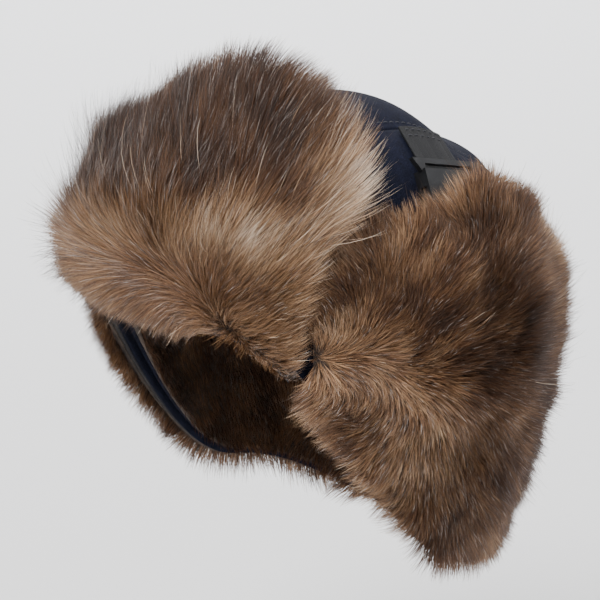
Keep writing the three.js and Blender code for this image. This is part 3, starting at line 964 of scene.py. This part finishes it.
def skirt_tone(u, v, root, pick):
    return np.clip(0.42 + 0.09 * field(root, 18, 63) + pick.normal(0, 0.08, len(u)), 0.14, 0.8)


def flap_layer(span, inner, outer):
    def place(u, v, w):
        angle = lerp(span[0] + CLOTH_EDGE["side"], span[1] - CLOTH_EDGE["side"], u)
        z = lerp(lower_edge(angle) + CLOTH_EDGE["low"], flap_top(angle) - CLOTH_EDGE["high"], v)
        return flap_point(angle, z, lerp(inner, outer, w))
    return place


def brim_layer(inner, outer):
    inset = 3

    def place(u, v, w):
        share = (2 * u - 1) * 0.985
        return brim_point(share, v, lerp(inner, outer, w), inset, 2 * inset)
    return place


def make_cloth_layers():
    backing = CLEAR + SKIN
    felt = backing + GAP + SKIN
    spans = {"left_flap": EAR, "right_flap": (360 - EAR[1], 360 - EAR[0]), "neck_flap": NECK}
    for name, span in spans.items():
        cloth(name + "_backing_cloth", (60, 50), flap_layer(span, CLEAR, backing), NAVY_WOOL, name,
              name + "_backing")
        cloth(name + "_interlining_felt", (60, 50), flap_layer(span, backing + GAP, felt), FELT, name,
              name + "_interlining")
    cloth("brim_backing_cloth", (60, 50), brim_layer(CLEAR, backing), NAVY_WOOL, "brim",
          "brim_backing")
    cloth("brim_stiffener_felt", (60, 50), brim_layer(backing + GAP, felt), FELT, "brim",
          "brim_stiffener")


# ---- webbing and buckles -------------------------------------------------------------------------

TAB_LENGTH = 24
WEAVE = {"pitch": 1.5, "column": 4.2, "relief": 0.16, "edge": 1.0}


def weave(x, y, half):
    """Herringbone twill: slanting ribs which turn back from column to column."""
    column = np.floor((y + half) / WEAVE["column"])
    slant = np.where(column % 2 == 0, 1, -1)
    rib = np.abs(((x + slant * y) / WEAVE["pitch"]) % 1 - 0.5) * 2
    valley = np.abs(((y + half) / WEAVE["column"]) % 1 - 0.5) * 2
    relief = WEAVE["relief"] * (rib * (1 - valley ** 6) - 0.5)
    fall = np.clip((np.abs(y) - half + WEAVE["edge"]) / WEAVE["edge"], 0, 1)
    return relief * (1 - fall) - 0.35 * fall ** 2


def from_buckle(points):
    return points @ BUCKLE_AXES + BUCKLE_MOUTH


def crown_tab_place(u, v, w):
    """Webbing from its hem on the crown, pulled straight to the socket's bar."""
    end = -BUCKLE["socket"] - 0.6
    across = (v - 0.5) * WEB["width"]
    grain = weave(u * TAB_LENGTH, across, WEB["width"] / 2) * (2 * w - 1)
    hem = crown_point(WEB["x"], WEB["y"] + across)
    hem = hem + crown_normal(hem) * (WEB["above"] + w * WEB["thick"] + grain)[..., None]
    bar = from_buckle(np.stack([end + 0 * u, across, (w - 1) * WEB["thick"] - 0.8 + grain], -1))
    return lerp(hem, bar, u[..., None])


def flap_strap_place(u, v, w):
    """Webbing straight under the plug, then up to its seam on the flap's backing."""
    run = BUCKLE["plug"] + BUCKLE["travel"] + 1
    across = (v - 0.5) * WEB["width"]
    x = lerp(1, run + WEB["seam"], u)
    grain = weave(x, across, WEB["width"] / 2) * (2 * w - 1)
    z = WEB["rise"] * smooth((x - run) / WEB["seam"]) - 2.1 + (w - 1) * WEB["thick"] + grain
    return from_buckle(np.stack([x, across, z], -1))


def mirrored(place):
    """The same piece on the wearer's right."""
    return lambda u, v, w: place(u, 1 - v, w) * [-1, 1, 1]


def make_webbing():
    for side, turn in (("left", lambda p: p), ("right", mirrored)):
        tab = shell(side + "_crown_tab_webbing", 110, 100, turn(crown_tab_place))
        finish(tab, WEBBING, "crown")
        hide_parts(side + "_crown_tab")
        strap = shell(side + "_flap_strap_webbing", 140, 90, turn(flap_strap_place))
        finish(strap, WEBBING, side + "_flap")
        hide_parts(side + "_flap_strap")
        v = np.linspace(0.08, 0.92, 40)
        for row, u in enumerate((0.07, 0.2)):
            points, out = line_on(turn(crown_tab_place), np.full_like(v, u), v)
            stitches(f"{side}_tab_stitches_{row + 1}", points, out, THREAD, "crown")


def make_buckles():
    """Moulded edges: each half takes its frame part's shape, with its corners rounded off."""
    for side in ("left", "right"):
        for half, body_name in (("socket", "crown"), ("plug", side + "_plug")):
            node = f"{side}_buckle_{half}"
            ob = bpy.data.objects.new(node + "_moulded", frame["nodes"][node].data.copy())
            bpy.context.scene.collection.objects.link(ob)
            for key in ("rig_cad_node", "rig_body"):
                if key in ob:
                    del ob[key]
            rounding = ob.modifiers.new("rounding", "BEVEL")
            rounding.width = 0.35 * MM
            rounding.segments = 3
            rounding.limit_method = "ANGLE"
            rounding.angle_limit = math.radians(40)
            bake_modifiers(ob)
            finish(ob, PLASTIC, body_name)
            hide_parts(node)


def bake_modifiers(ob):
    shaped = ob.evaluated_get(bpy.context.evaluated_depsgraph_get())
    mesh = bpy.data.meshes.new_from_object(shaped)
    ob.modifiers.clear()
    ob.data = mesh
    if hasattr(mesh, "shade_auto_smooth"):
        mesh.shade_auto_smooth(angle=math.radians(35))


# ---- camera, lights and floor ----------------------------------------------------------------

VIEW = {"azimuth": 50, "elevation": 18, "distance": 1.3, "lens": 167.7, "shift": (-0.02, -0.04)}


def add_camera():
    a, e = math.radians(VIEW["azimuth"]), math.radians(VIEW["elevation"])
    away = Vector((math.sin(a) * math.cos(e), -math.cos(a) * math.cos(e), math.sin(e)))
    data = bpy.data.cameras.new("camera")
    data.lens = VIEW["lens"]
    data.shift_x, data.shift_y = VIEW["shift"]
    camera = bpy.data.objects.new("camera", data)
    camera.location = away * VIEW["distance"]
    camera.rotation_euler = away.to_track_quat("Z", "Y").to_euler()
    bpy.context.scene.collection.objects.link(camera)
    bpy.context.scene.camera = camera


def add_light(name, azimuth, elevation, distance, size, power, shift=(0, 0, 0)):
    a, e = math.radians(azimuth), math.radians(elevation)
    away = Vector((math.sin(a) * math.cos(e), -math.cos(a) * math.cos(e), math.sin(e)))
    data = bpy.data.lights.new(name, "AREA")
    data.shape = "DISK"
    data.size = size
    data.energy = power
    light = bpy.data.objects.new(name, data)
    light.location = away * distance + Vector(shift)
    light.rotation_euler = away.to_track_quat("Z", "Y").to_euler()
    bpy.context.scene.collection.objects.link(light)


def add_stage():
    """A pale floor, level far out and turned up softly into a wall all round; its colour is painted darker
    near the middle, as shade.
    """
    rings, steps = 40, 96
    r = np.linspace(0, 1, rings) ** 1.5 * 6000
    rise = np.maximum(r - 2600, 0) ** 2 / 2500
    turn = np.linspace(0, 2 * math.pi, steps, endpoint=False)
    verts = np.stack([
        np.outer(np.cos(turn), r), np.outer(np.sin(turn), r), np.tile(rise + FLOOR_Z, (steps, 1)),
    ], -1).reshape(-1, 3)
    i, j = np.meshgrid(np.arange(steps), np.arange(rings - 1), indexing="ij")
    a, b = (i * rings + j).ravel(), (((i + 1) % steps) * rings + j).ravel()
    floor = make_mesh("floor", verts, np.stack([a, a + 1, b + 1, b], 1))
    mat, tree, shader, node = new_material("pale_floor_painted_shade")
    where = node("ShaderNodeTexCoord").outputs["Object"]
    # Painted shade: the floor's colour runs from darker near the middle to pale far out, standing for light
    # that falls off towards the bottom of the view.
    away = node("ShaderNodeVectorMath", {0: where}, operation="LENGTH").outputs["Value"]
    far = node("ShaderNodeMapRange", {"Value": away, "From Min": 0.4, "From Max": 2.2}).outputs["Result"]
    pale = ramp(node, far, [(0, (.70, .695, .69)), (1, (.99, .99, 1.0))])
    tree.links.new(pale, shader.inputs["Base Color"])
    shader.inputs["Roughness"].default_value = 0.9
    floor.data.materials.append(mat)
    world = bpy.data.worlds.new("world")
    world.use_nodes = True
    world.node_tree.nodes["Background"].inputs[0].default_value = (.80, .81, .84, 1)
    world.node_tree.nodes["Background"].inputs[1].default_value = 0.95
    bpy.context.scene.world = world


FLOOR_Z = -330

add_camera()
add_stage()
add_light("key", 20, 52, 2.0, 0.8, 66)
add_light("fill", 110, 30, 2.2, 1.6, 14)
add_light("back", 240, 50, 2.2, 1.2, 12)
add_light("over_floor", 230, 89, 2.2, 2.0, 95, (-1.7, 1.45, 0))

make_brim()
make_flap("left_flap", EAR, False, 300)
make_flap("right_flap", (360 - EAR[1], 360 - EAR[0]), True, 400)
make_flap("neck_flap", NECK, False, 500)
make_crown()
make_crown_seams()
make_sweatband()
make_skirt("left_ear", (EAR[0] - 6, EAR[1]), 600)
make_skirt("nape", (EAR[1] + 0.5, 360 - EAR[1] - 0.5), 620)
make_skirt("right_ear", (360 - EAR[1], 366 - EAR[0]), 640)
make_cloth_layers()
make_webbing()
make_buckles()
